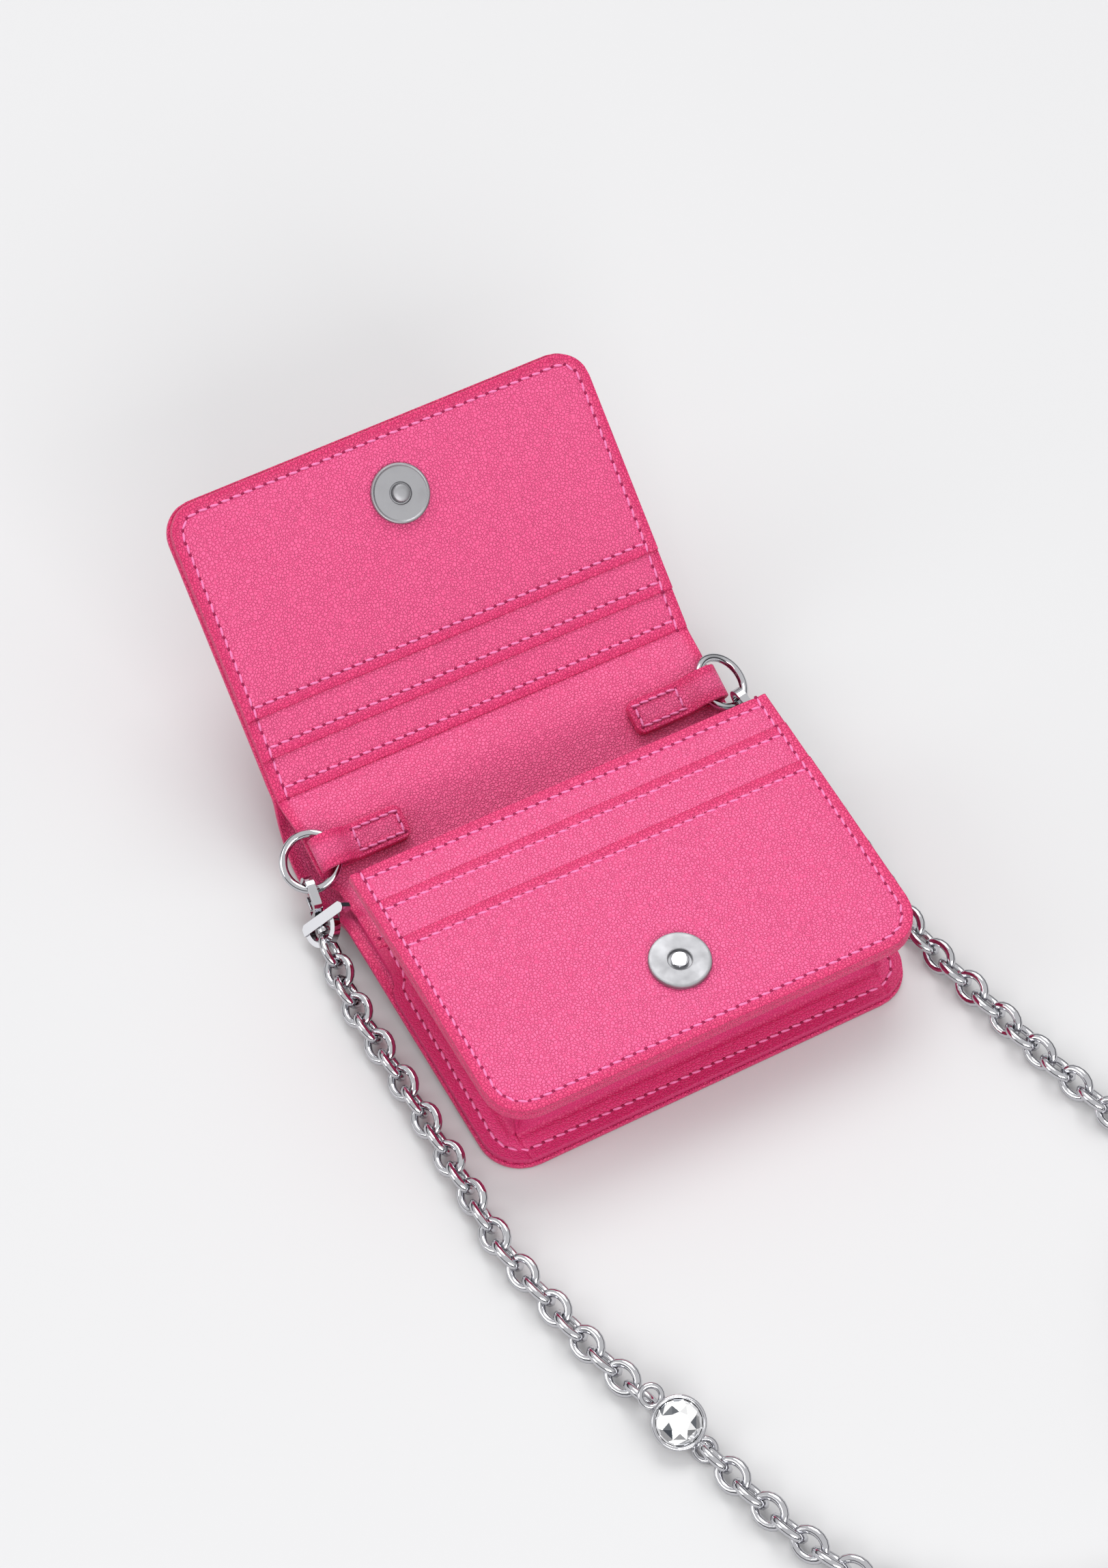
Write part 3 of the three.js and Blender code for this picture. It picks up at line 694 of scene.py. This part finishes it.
def stitch_shape():
    """One stitch along x, sunk at both ends, and the needle hole before it."""
    clear()
    bpy.ops.mesh.primitive_uv_sphere_add(
        segments=8, ring_count=6, radius=1 * MM, rotation=(0, math.pi / 2, 0),
    )
    thread = bpy.context.object
    bpy.ops.object.transform_apply(rotation=True)
    select(thread, lambda p: True)
    bpy.ops.transform.resize(value=STITCH_HALF)
    bpy.ops.transform.rotate(value=math.radians(9), orient_axis="Z", center_override=(0, 0, 0))
    bpy.ops.object.mode_set(mode="OBJECT")
    thread.data.materials.append(THREAD)
    thread.data.materials.append(HOLE)
    clear()
    bpy.ops.mesh.primitive_circle_add(
        vertices=8, radius=HOLE_RADIUS * MM, fill_type="NGON", location=(-STITCH / 2 * MM, 0, 0.04 * MM),
    )
    hole = bpy.context.object
    hole.data.materials.append(THREAD)
    hole.data.materials.append(HOLE)
    bpy.ops.object.mode_set(mode="EDIT")
    bpy.ops.mesh.select_all(action="SELECT")
    bpy.ops.mesh.extrude_region_move(TRANSFORM_OT_translate={"value": (0, 0, -HOLE_DEPTH * MM)})
    bpy.ops.mesh.select_all(action="SELECT")
    bpy.ops.mesh.normals_make_consistent(inside=False)
    bpy.ops.object.mode_set(mode="OBJECT")
    for face in hole.data.polygons:
        face.material_index = 1
    return joined("stitch", thread, hole)


ONE_STITCH = stitch_shape()


def stitching(name, body, runs, surface, pitch=STITCH):
    """Thread along the runs. surface gives the leather's face in metres for a point of a run."""
    near = 0.3  # the leather's slope is felt this far ahead and aside
    places = []
    for run in runs:
        line = [Vector((x, y, 0)) for x, y in run]
        total = spaced(line, [])[1]
        count = max(1, round(total / pitch))
        step = total / count
        for point, along in spaced(line, [step * (i + 0.5) for i in range(count)])[0]:
            middle = surface(point.x, point.y)
            ahead = surface(point.x + near * along.x, point.y + near * along.y) - middle
            aside = surface(point.x - near * along.y, point.y + near * along.x) - middle
            place = basis(ahead, aside, middle)
            places.append(place @ Matrix.Scale(step / pitch, 4, (1, 0, 0)))
    piece = copies(name, ONE_STITCH, places)
    piece.data.materials.append(THREAD)
    piece.data.materials.append(HOLE)
    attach(piece, body)


# ---------------------------------------------------------------- flat leather panels
INSET = 2.6  # stitches, in from an edge
POCKET = 0.95  # thickness of a pocket's folded leather
CROWN = 0.3  # how far a pocket swells between its seams


def panel(name, body, place, half, near, far, radius, top, thickness, runs, crown):
    """A panel in a plane, square at its near edge and round-cornered at its far edge, and its sewn face."""
    low, high = sorted((near, far))
    xs = graded(-half, half, [-half + INSET, half - INSET])
    ys = graded(low, high, [far - math.copysign(INSET, far)] + [run[0][1] for run in runs])

    def face(x, y):
        x, y = rounded(x, y, half, far, radius)
        return at(place, x, y, top + sewn(x, y, runs, crown))

    piece = hide(name, xs, ys, face, thickness)
    dress(piece, body, LEATHER)
    return piece, lambda x, y: at(place, x, y, top + LIFT + sewn(x, y, runs, crown))


def across(half, y):
    return [(-half, y), (half, y)]


# leaf: a board in a folded cover, then three stepped card pockets
LEAF = 54.0
LENGTH = 72.8
LEAF_CORNER = 10.0
LEAF_STEPS = (20.2, 9.3, 0.0)
LEAF_TOP = 25.55  # top of the front pocket
LEAF_DROP = 0.42  # from one pocket to the next
leaf_border = border(LEAF, 0, -LENGTH, LEAF_CORNER, INSET)
board, _ = panel(
    "leaf_board_cover", "leaf", wallet, LEAF, 0, -LENGTH, LEAF_CORNER, 24.2, 2.4, [leaf_border], 0,
)
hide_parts("leaf_board")
for level, (node, step) in enumerate(zip(("front", "middle", "rear"), LEAF_STEPS)):
    seam = across(LEAF - INSET, -step - INSET)
    side_runs = border(LEAF, -step, -LENGTH, LEAF_CORNER, INSET)
    pocket, face = panel(
        f"leaf_{node}_pocket", "leaf", wallet, LEAF - 0.15, -step, -LENGTH + 0.1, LEAF_CORNER - 0.1,
        LEAF_TOP - LEAF_DROP * level, POCKET, [side_runs, seam], CROWN,
    )
    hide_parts(f"leaf_pocket_{node}")
    runs = [seam]
    if level == 0:
        runs.append(side_runs)
    else:
        below = LEAF_STEPS[level - 1]
        runs += [[(s * (LEAF - INSET), -step), (s * (LEAF - INSET), -below)] for s in (-1, 1)]
    stitching(f"leaf_{node}_stitches", "leaf", runs, face)

# flap: three stepped card pockets on its inner face
FLAP = 54.2
FLAP_LENGTH = 71.25
FLAP_CORNER = 7.5
FLAP_STEPS = (19.6, 9.8, 0.0)
FLAP_TOP = -0.25  # top of the front pocket, off the flap's inner face
FLAP_DROP = 0.62
for level, (node, step) in enumerate(zip(("front", "middle", "rear"), FLAP_STEPS)):
    seam = across(FLAP - INSET, step + INSET)
    side_runs = border(FLAP, step, FLAP_LENGTH, FLAP_CORNER, INSET)
    pocket, face = panel(
        f"flap_{node}_pocket", "flap", flap, FLAP, step, FLAP_LENGTH, FLAP_CORNER,
        FLAP_TOP - FLAP_DROP * level, POCKET, [side_runs, seam], CROWN,
    )
    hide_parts(f"flap_pocket_{node}")
    runs = [seam]
    if level == 0:
        runs.append(side_runs)
    else:
        above = FLAP_STEPS[level - 1]
        runs += [[(s * (FLAP - INSET), step), (s * (FLAP - INSET), above)] for s in (-1, 1)]
    stitching(f"flap_{node}_stitches", "flap", runs, face)

# back: its inner face, with the bellows' foot sewn round three sides
RIM = 8.0  # width of the bellows' foot, which stands on the lining
BACK = LEAF - 0.4
BACK_NEAR = 0.9
BACK_END = -LENGTH + 0.4
BACK_CORNER = 9.6
back_border = border(BACK, BACK_NEAR, BACK_END, BACK_CORNER, INSET)


def back_height(x, y):
    """The lining's height: a step up to the foot, the foot's mitred corners, and the thread's channel."""
    inside = min(LEAF - RIM - abs(x), y + LENGTH - RIM)
    step = 0.5 - 0.5 * math.tanh(inside / 0.25)
    mitre = math.exp(-(((abs(x) - LEAF + RIM) / 0.3) ** 2)) if y < -LENGTH + RIM else 0
    channel = math.exp(-((distance(x, y, back_border) / PULL) ** 2))
    return 2.6 + 0.8 * step - 0.35 * mitre - 0.25 * channel


def beside_clasps(y, start, end):
    """Share of its width that a piece keeps where the clasps swing past it: all of it from end on."""
    narrowed = 2.4 / 53.5
    share = min(max((y - start) / (end - start), 0), 1)
    return 1 - (1 - share * share * (3 - 2 * share)) * narrowed


def on_back(x, y, lift):
    return at(wallet, x * beside_clasps(y, -16, -22), y, back_height(x, y) + lift)


def back_face(x, y):
    x, y = rounded(x, y, BACK, BACK_END, BACK_CORNER)
    return on_back(x, y, 0)


back_xs = graded(-BACK, BACK, [-BACK + INSET, RIM - LEAF, LEAF - RIM, BACK - INSET], 0.4)
back_ys = graded(BACK_END, BACK_NEAR, [BACK_END + INSET, RIM - LENGTH], 0.4)
back_panel = hide("back_inner_face", back_xs, back_ys, back_face, 1.5)
dress(back_panel, "back", LEATHER_IN_PAINTED_SHADE)
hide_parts("back_lining")
rim_line = border(BACK, -9.5, BACK_END, BACK_CORNER, INSET)
stitching("back_stitches", "back", [rim_line], lambda x, y: on_back(x, y, LIFT))


# ---------------------------------------------------------------- leather that runs over the spine
class Bent:
    """A line in the wallet's y and z, measured from its start."""

    def __init__(self, points):
        self.line = through([(y, z, 0) for y, z in points], 0.5)
        self.lengths = [0.0]
        for a, b in zip(self.line, self.line[1:]):
            self.lengths.append(self.lengths[-1] + (b - a).length)
        self.total = self.lengths[-1]

    def at(self, s):
        s = min(max(s, 0), self.total)
        low, high = 0, len(self.line) - 2
        while low < high:
            mid = (low + high + 1) // 2
            if self.lengths[mid] <= s:
                low = mid
            else:
                high = mid - 1
        share = (s - self.lengths[low]) / (self.lengths[low + 1] - self.lengths[low])
        p = self.line[low].lerp(self.line[low + 1], share)
        return p.x, p.y

    def where(self, y):
        """The length at which the line first reaches y."""
        for p, s in zip(self.line, self.lengths):
            if p.x >= y:
                return s
        return self.total


MEET = 16.6  # the two halves of each long piece meet here, in the spine
PAST_CORNER = 20  # any length that carries a corner clear of the middle line
cover_line = Bent([
    (-72.8, 0), (-50, 0), (-20, 0), (-4, 0), (0.4, -0.1), (2.2, -0.8), (4.4, -2.5), (8, -4.9), (12.5, -6.35),
    (17, -6.85), (21.5, -7.1), (26, -6.6), (30, -4.8), (32.8, -2.2), (34.7, 1.0), (35.9, 4.0),
    flap_line(1.0, -4.2), flap_line(4, -4.3), flap_line(15, -4.3), flap_line(40, -4.3),
    flap_line(71.75, -4.3),
])
inner_line = Bent([
    (-8.6, 3.5), (-4, 3.5), (0.2, 3.45), (1.6, 3.0), (3.2, 2.4), (5.4, 2.05), (9, 2.0), (12.3, 2.4),
    (15.7, 3.5), (18.7, 4.5), (22.5, 5.8), (25.6, 6.6), (29.5, 7.05), (33.5, 7.3), flap_line(0.9, -2.0),
    flap_line(4, -1.9), flap_line(40, -1.9), flap_line(71.3, -1.9),
])


def flared(y):
    """Half the cover's width: it stands out a little where it bulges under the spine."""
    bulge = math.exp(-(((y - 20) / 11) ** 2))
    end = min(max((y - 20) / 20, 0), 1)
    return LEAF + 0.7 * end + 1.5 * bulge


def long_piece(name, line, first, last, thickness, offset, width, corners, rim=0.3):
    """Part of a bent line carried across the wallet. Where it meets its other half it is made longer and cut
    clean, so that the two run on without a seam."""
    spare = 3.0
    start = first - spare if first > 0 else first
    end = last + spare if last < line.total else last
    xs = graded(-LEAF, LEAF, [-LEAF + INSET, LEAF - INSET])
    ys = graded(start, end, [first, last, line.where(4), line.where(33)], 0.5, 1.6, 3.0)
    near_end, far_end = corners

    def face(x, s):
        if near_end and s < near_end:
            x, t = rounded(x, s - near_end - PAST_CORNER, LEAF, -near_end - PAST_CORNER, near_end)
            s = near_end + t + PAST_CORNER
        if far_end and s > last - far_end:
            x, t = rounded(x, s - last + far_end + PAST_CORNER, LEAF, far_end + PAST_CORNER, far_end)
            s = last - far_end + t - PAST_CORNER
        y, z = line.at(s)
        return at(wallet, x * width(y) / LEAF, y, z)

    piece = hide(name, xs, ys, face, thickness, rim, offset)
    # the spare length goes, and the end that it leaves open is closed
    select(piece, lambda p: False)
    bpy.ops.object.mode_set(mode="OBJECT")
    hair = 0.01
    for vertex, run in zip(piece.data.vertices, piece.data.attributes["run"].data):
        vertex.select = not first - hair < run.value < last + hair
    bpy.ops.object.mode_set(mode="EDIT")
    bpy.ops.mesh.delete(type="VERT")
    bpy.ops.mesh.select_non_manifold()
    bpy.ops.mesh.edge_face_add()
    bpy.ops.object.mode_set(mode="OBJECT")
    smooth(piece)
    piece.data.materials.append(LEATHER)
    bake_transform(piece)
    return piece


cover_meet = cover_line.where(MEET)
inner_meet = inner_line.where(MEET)
back_cover = long_piece(
    "cover_back_half", cover_line, 0, cover_meet, 1.3, 1.0, flared, (10, 0),
)
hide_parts("back_cover", "spine_cover")
flap_cover = long_piece(
    "cover_flap_half", cover_line, cover_meet, cover_line.total, 1.3, 1.0, flared, (0, 8),
)
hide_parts("flap_cover")
hem = long_piece(
    "spine_panel_back_half", inner_line, 0, inner_meet, 0.8, -1.0, lambda y: 53.5 * beside_clasps(y, 9, 14),
    (0, 0), 0.25,
)
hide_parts("panel_hem", "spine_panel")
bridge = long_piece(
    "spine_panel_flap_half", inner_line, inner_meet, inner_line.total, 1.2, -1.0,
    lambda y: 53.5 + 0.8 * min(max((y - 24) / 12, 0), 1), (0, 8), 0.25,
)
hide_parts("flap_lining")
HEM_SEAM = -6.2
HEM_TOP = 3.62
stitching("hem_stitches", "back", [across(49.4, HEM_SEAM)], lambda x, y: at(wallet, x, y, HEM_TOP))


# ---------------------------------------------------------------- bellows
def bellows(name, node, span, where):
    """A thin gusset that stands between back and leaf, bowed in at half height."""
    line = Bent([
        (2.4, 3.3), (1.4, 3.3), (0.5, 3.8), (0.0, 5.0), (-0.9, 9.0), (-1.3, 12.5), (-0.9, 16), (0.0, 19.8),
        (0.5, 21.1), (1.6, 21.6), (5.0, 21.65),
    ])
    foot, height = 3.3, 18.3
    slack = 0.5  # how far the leather wanders in and out along its length
    along = graded(span[0], span[1], [0], 2.0, 3.0)
    rows = graded(0, line.total, [5, 23], 0.5, 1.0)

    def face(a, s):
        out, z = line.at(s)
        sag = slack * math.sin(a * 0.13) * math.sin(math.pi * min(max((z - foot) / height, 0), 1))
        return where(a, out + sag, z)

    piece = hide(name, along, rows, face, 0.7, 0.15, 0)
    dress(piece, "back", LEATHER_IN_PAINTED_SHADE)
    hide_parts(node)
    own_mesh(piece)


LAP = 0.3  # how far the walls run into each other at the corners
SIDE = LEAF - RIM
END = LENGTH - RIM
SIDE_SPAN = (-END - LAP, -9.2)
END_SPAN = (-SIDE - LAP, SIDE + LAP)
bellows("bellows_left_wall", "bellows_left", SIDE_SPAN, lambda a, out, z: at(wallet, -SIDE - out, a, z))
bellows("bellows_right_wall", "bellows_right", SIDE_SPAN, lambda a, out, z: at(wallet, SIDE + out, a, z))
bellows("bellows_end_wall", "bellows_bottom", END_SPAN, lambda a, out, z: at(wallet, a, -END - out, z))

# ---------------------------------------------------------------- snaps
FLAP_SNAP_PLACE = flap @ Matrix.Translation(Vector((0, 55.0, 0.2)) * MM)
LEAF_SNAP_PLACE = wallet @ Matrix.Translation(Vector((0, -54.6, 25.85)) * MM)


def snap(name, profile, segments, place, body, metal, node):
    """A lathe-turned piece of a press snap, set into the leather."""
    piece = turned(name, profile, segments)
    piece.data.transform(place)
    settle(piece, name)
    smooth(piece, 25)
    dress(piece, body, metal)
    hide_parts(node)


snap("flap_snap_half", [
    (5.8, 0.0), (6.9, 0.0), (7.15, 0.2), (7.15, 0.75), (7.0, 1.0), (6.75, 1.1), (6.5, 1.02), (6.3, 0.85),
    (2.75, 0.85), (2.6, 0.7), (2.55, 0.4), (2.25, 0.4), (2.15, 0.7), (2.1, 1.5), (1.95, 1.75), (1.6, 1.9),
    (0.8, 1.95),
], 72, FLAP_SNAP_PLACE, "flap", SATIN, "flap_snap")
snap("leaf_snap_half", [
    (5.8, 0.0), (6.9, 0.0), (7.15, 0.2), (7.15, 1.05), (7.0, 1.3), (6.7, 1.42), (6.3, 1.4), (2.95, 1.4),
    (2.75, 1.3), (2.7, 0.5), (2.2, 0.5),
], 72, LEAF_SNAP_PLACE, "leaf", SATIN, "leaf_snap")
snap("leaf_snap_rivet", [
    (1.6, 0.4), (2.05, 0.4), (2.05, 1.2), (1.9, 1.38), (1.5, 1.45), (0.7, 1.48),
], 40, LEAF_SNAP_PLACE, "leaf", STEEL, "leaf_snap_pin")


# ---------------------------------------------------------------- tabs
TAB_HALF = 4.2
TAB_CORNER = 2.0
TAB_STITCH = 2.3
TAB_TOP = 2.82  # of its stitches


def tab(name, side):
    """A strip folded round the ring and sewn down on itself; its outline is rounded where it ends."""
    loop = Bent([
        (30.0, 1.4), (36, 1.4), (44, 1.4), (49.0, 1.4), (50.6, 1.42), (51.9, 2.0), (52.4, 3.25),
        (51.9, 4.5), (50.6, 5.1), (48.9, 5.1), (47.4, 4.55), (45.8, 3.2), (44.2, 2.05), (42.4, 1.62),
        (36, 1.6), (30.0, 1.6),
    ])
    rows = graded(0, loop.total, [], 0.4, 0.8)
    widths = graded(-TAB_HALF, TAB_HALF, [], 0.35, 0.8, 1.6)

    def face(y, s):
        t = min(s, loop.total - s)
        if t < TAB_CORNER:
            y, t = rounded(y, t - TAB_CORNER - PAST_CORNER, TAB_HALF, -TAB_CORNER - PAST_CORNER, TAB_CORNER)
            t = TAB_CORNER + t + PAST_CORNER
            s = t if s < loop.total / 2 else loop.total - t
        x, z = loop.at(s)
        return at(tabs, side * x, side * y, z)

    strip = hide(f"tab_{name}_strap", widths, rows, face, 1.1, 0.3, 1.0)
    dress(strip, "spine", LEATHER)
    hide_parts(f"tab_{name}")
    box_seam = [(31.6, -2.7), (42.6, -2.7), (42.6, 2.7), (31.6, 2.7), (31.6, -2.7)]
    stitching(
        f"tab_{name}_stitches", "spine", [[(side * x, y) for x, y in box_seam]],
        lambda x, y: at(tabs, x, y, TAB_TOP), TAB_STITCH,
    )


for name, side in (("left", -1), ("right", 1)):
    tab(name, side)


# ---------------------------------------------------------------- rings and clasps
RING_RADIUS = 6.5  # to the middle of the wire
RING_WIRE = 1.0  # radius


def softened(node, name, radius, body, segments=2):
    """The part's own solid with its edges broken and rounded, as barrel polishing leaves them."""
    piece = bpy.data.objects.new(name, frame["nodes"][node].data.copy())
    bpy.context.scene.collection.objects.link(piece)
    select(piece, lambda p: True, "FACE")
    bpy.ops.mesh.select_all(action="SELECT")
    bpy.ops.mesh.remove_doubles(threshold=1e-6)
    bpy.ops.mesh.dissolve_limited(angle_limit=math.radians(3))
    bpy.ops.object.mode_set(mode="OBJECT")
    modify(
        piece, "BEVEL", width=radius * MM, segments=segments, limit_method="ANGLE",
        angle_limit=math.radians(35),
    )
    smooth(piece, 35)
    modify(piece, "WEIGHTED_NORMAL", keep_sharp=True, weight=90)
    dress(piece, body, STEEL)
    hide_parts(node)


for name in ("left", "right"):
    low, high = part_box(f"ring_{name}")
    hinge = joints[f"ring_{name}_swing"]
    axis = Vector(hinge["axis"])
    middle = (Vector(low) + Vector(high)) / 2
    out = middle - Vector(hinge["pos_m"])
    out -= axis * out.dot(axis)
    clear()
    bpy.ops.mesh.primitive_torus_add(
        major_segments=64, minor_segments=16, major_radius=RING_RADIUS * MM, minor_radius=RING_WIRE * MM,
    )
    ring = bpy.context.object
    ring.data.transform(basis(out, axis, middle))
    settle(ring, f"ring_{name}_wire")
    smooth(ring)
    dress(ring, f"ring_{name}", STEEL)
    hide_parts(f"ring_{name}")
    softened(f"hook_{name}", f"clasp_{name}_hook", 0.25, f"clasp_{name}", 3)
    softened(f"gate_{name}", f"clasp_{name}_gate", 0.15, f"gate_{name}")
    softened(f"swivel_{name}", f"clasp_{name}_swivel", 0.25, f"swivel_{name}", 3)

bpy.data.objects.remove(ONE_STITCH)

# ---------------------------------------------------------------- floor and light
clear()
bpy.ops.mesh.primitive_plane_add(size=6, location=(0, 0, -0.2 * MM))
floor = bpy.context.object
floor.name = "floor"
paper = material("backdrop paper", base_color=colour("#D0D0D1"), roughness=0.9)[0]
floor.data.materials.append(paper)
world = bpy.data.worlds.new("studio")
world.use_nodes = True
sky = world.node_tree
# dark near the horizon, so that polished metal shows dark lines
height = add(sky, "ShaderNodeSeparateXYZ", links={0: add(sky, "ShaderNodeTexCoord").outputs["Generated"]})
fade = add(sky, "ShaderNodeValToRGB", links={"Fac": height.outputs["Z"]})
fade.color_ramp.elements[0].color = (0.06, 0.06, 0.07, 1)
fade.color_ramp.elements[0].position = 0.22
fade.color_ramp.elements[1].color = (1, 1, 1, 1)
fade.color_ramp.elements[1].position = 0.5
sky.links.new(fade.outputs[0], sky.nodes["Background"].inputs["Color"])
sky.nodes["Background"].inputs["Strength"].default_value = 0.88
bpy.context.scene.world = world


def softbox(name, place, aim, size, power):
    lamp = bpy.data.lights.new(name, "AREA")
    lamp.shape = "RECTANGLE"
    lamp.size, lamp.size_y = size
    lamp.energy = power
    holder = bpy.data.objects.new(name, lamp)
    holder.location = place
    holder.rotation_euler = (Vector(aim) - Vector(place)).to_track_quat("-Z", "Y").to_euler()
    bpy.context.scene.collection.objects.link(holder)


softbox("key", (0.35, 0.7, 1.5), (0, 0, 0), (1.0, 1.0), 11.5)
softbox("front", (-0.3, -1.5, 0.9), (0, 0.03, 0.03), (1.2, 0.7), 15)
softbox("side", (-1.3, 0.3, 0.7), (0, 0, 0), (0.6, 0.8), 3.8)
# the flat bars of the clasps mirror this one
softbox("low card", (-1.1, 0.55, 0.12), (0, 0, 0.02), (0.35, 0.3), 0.45)
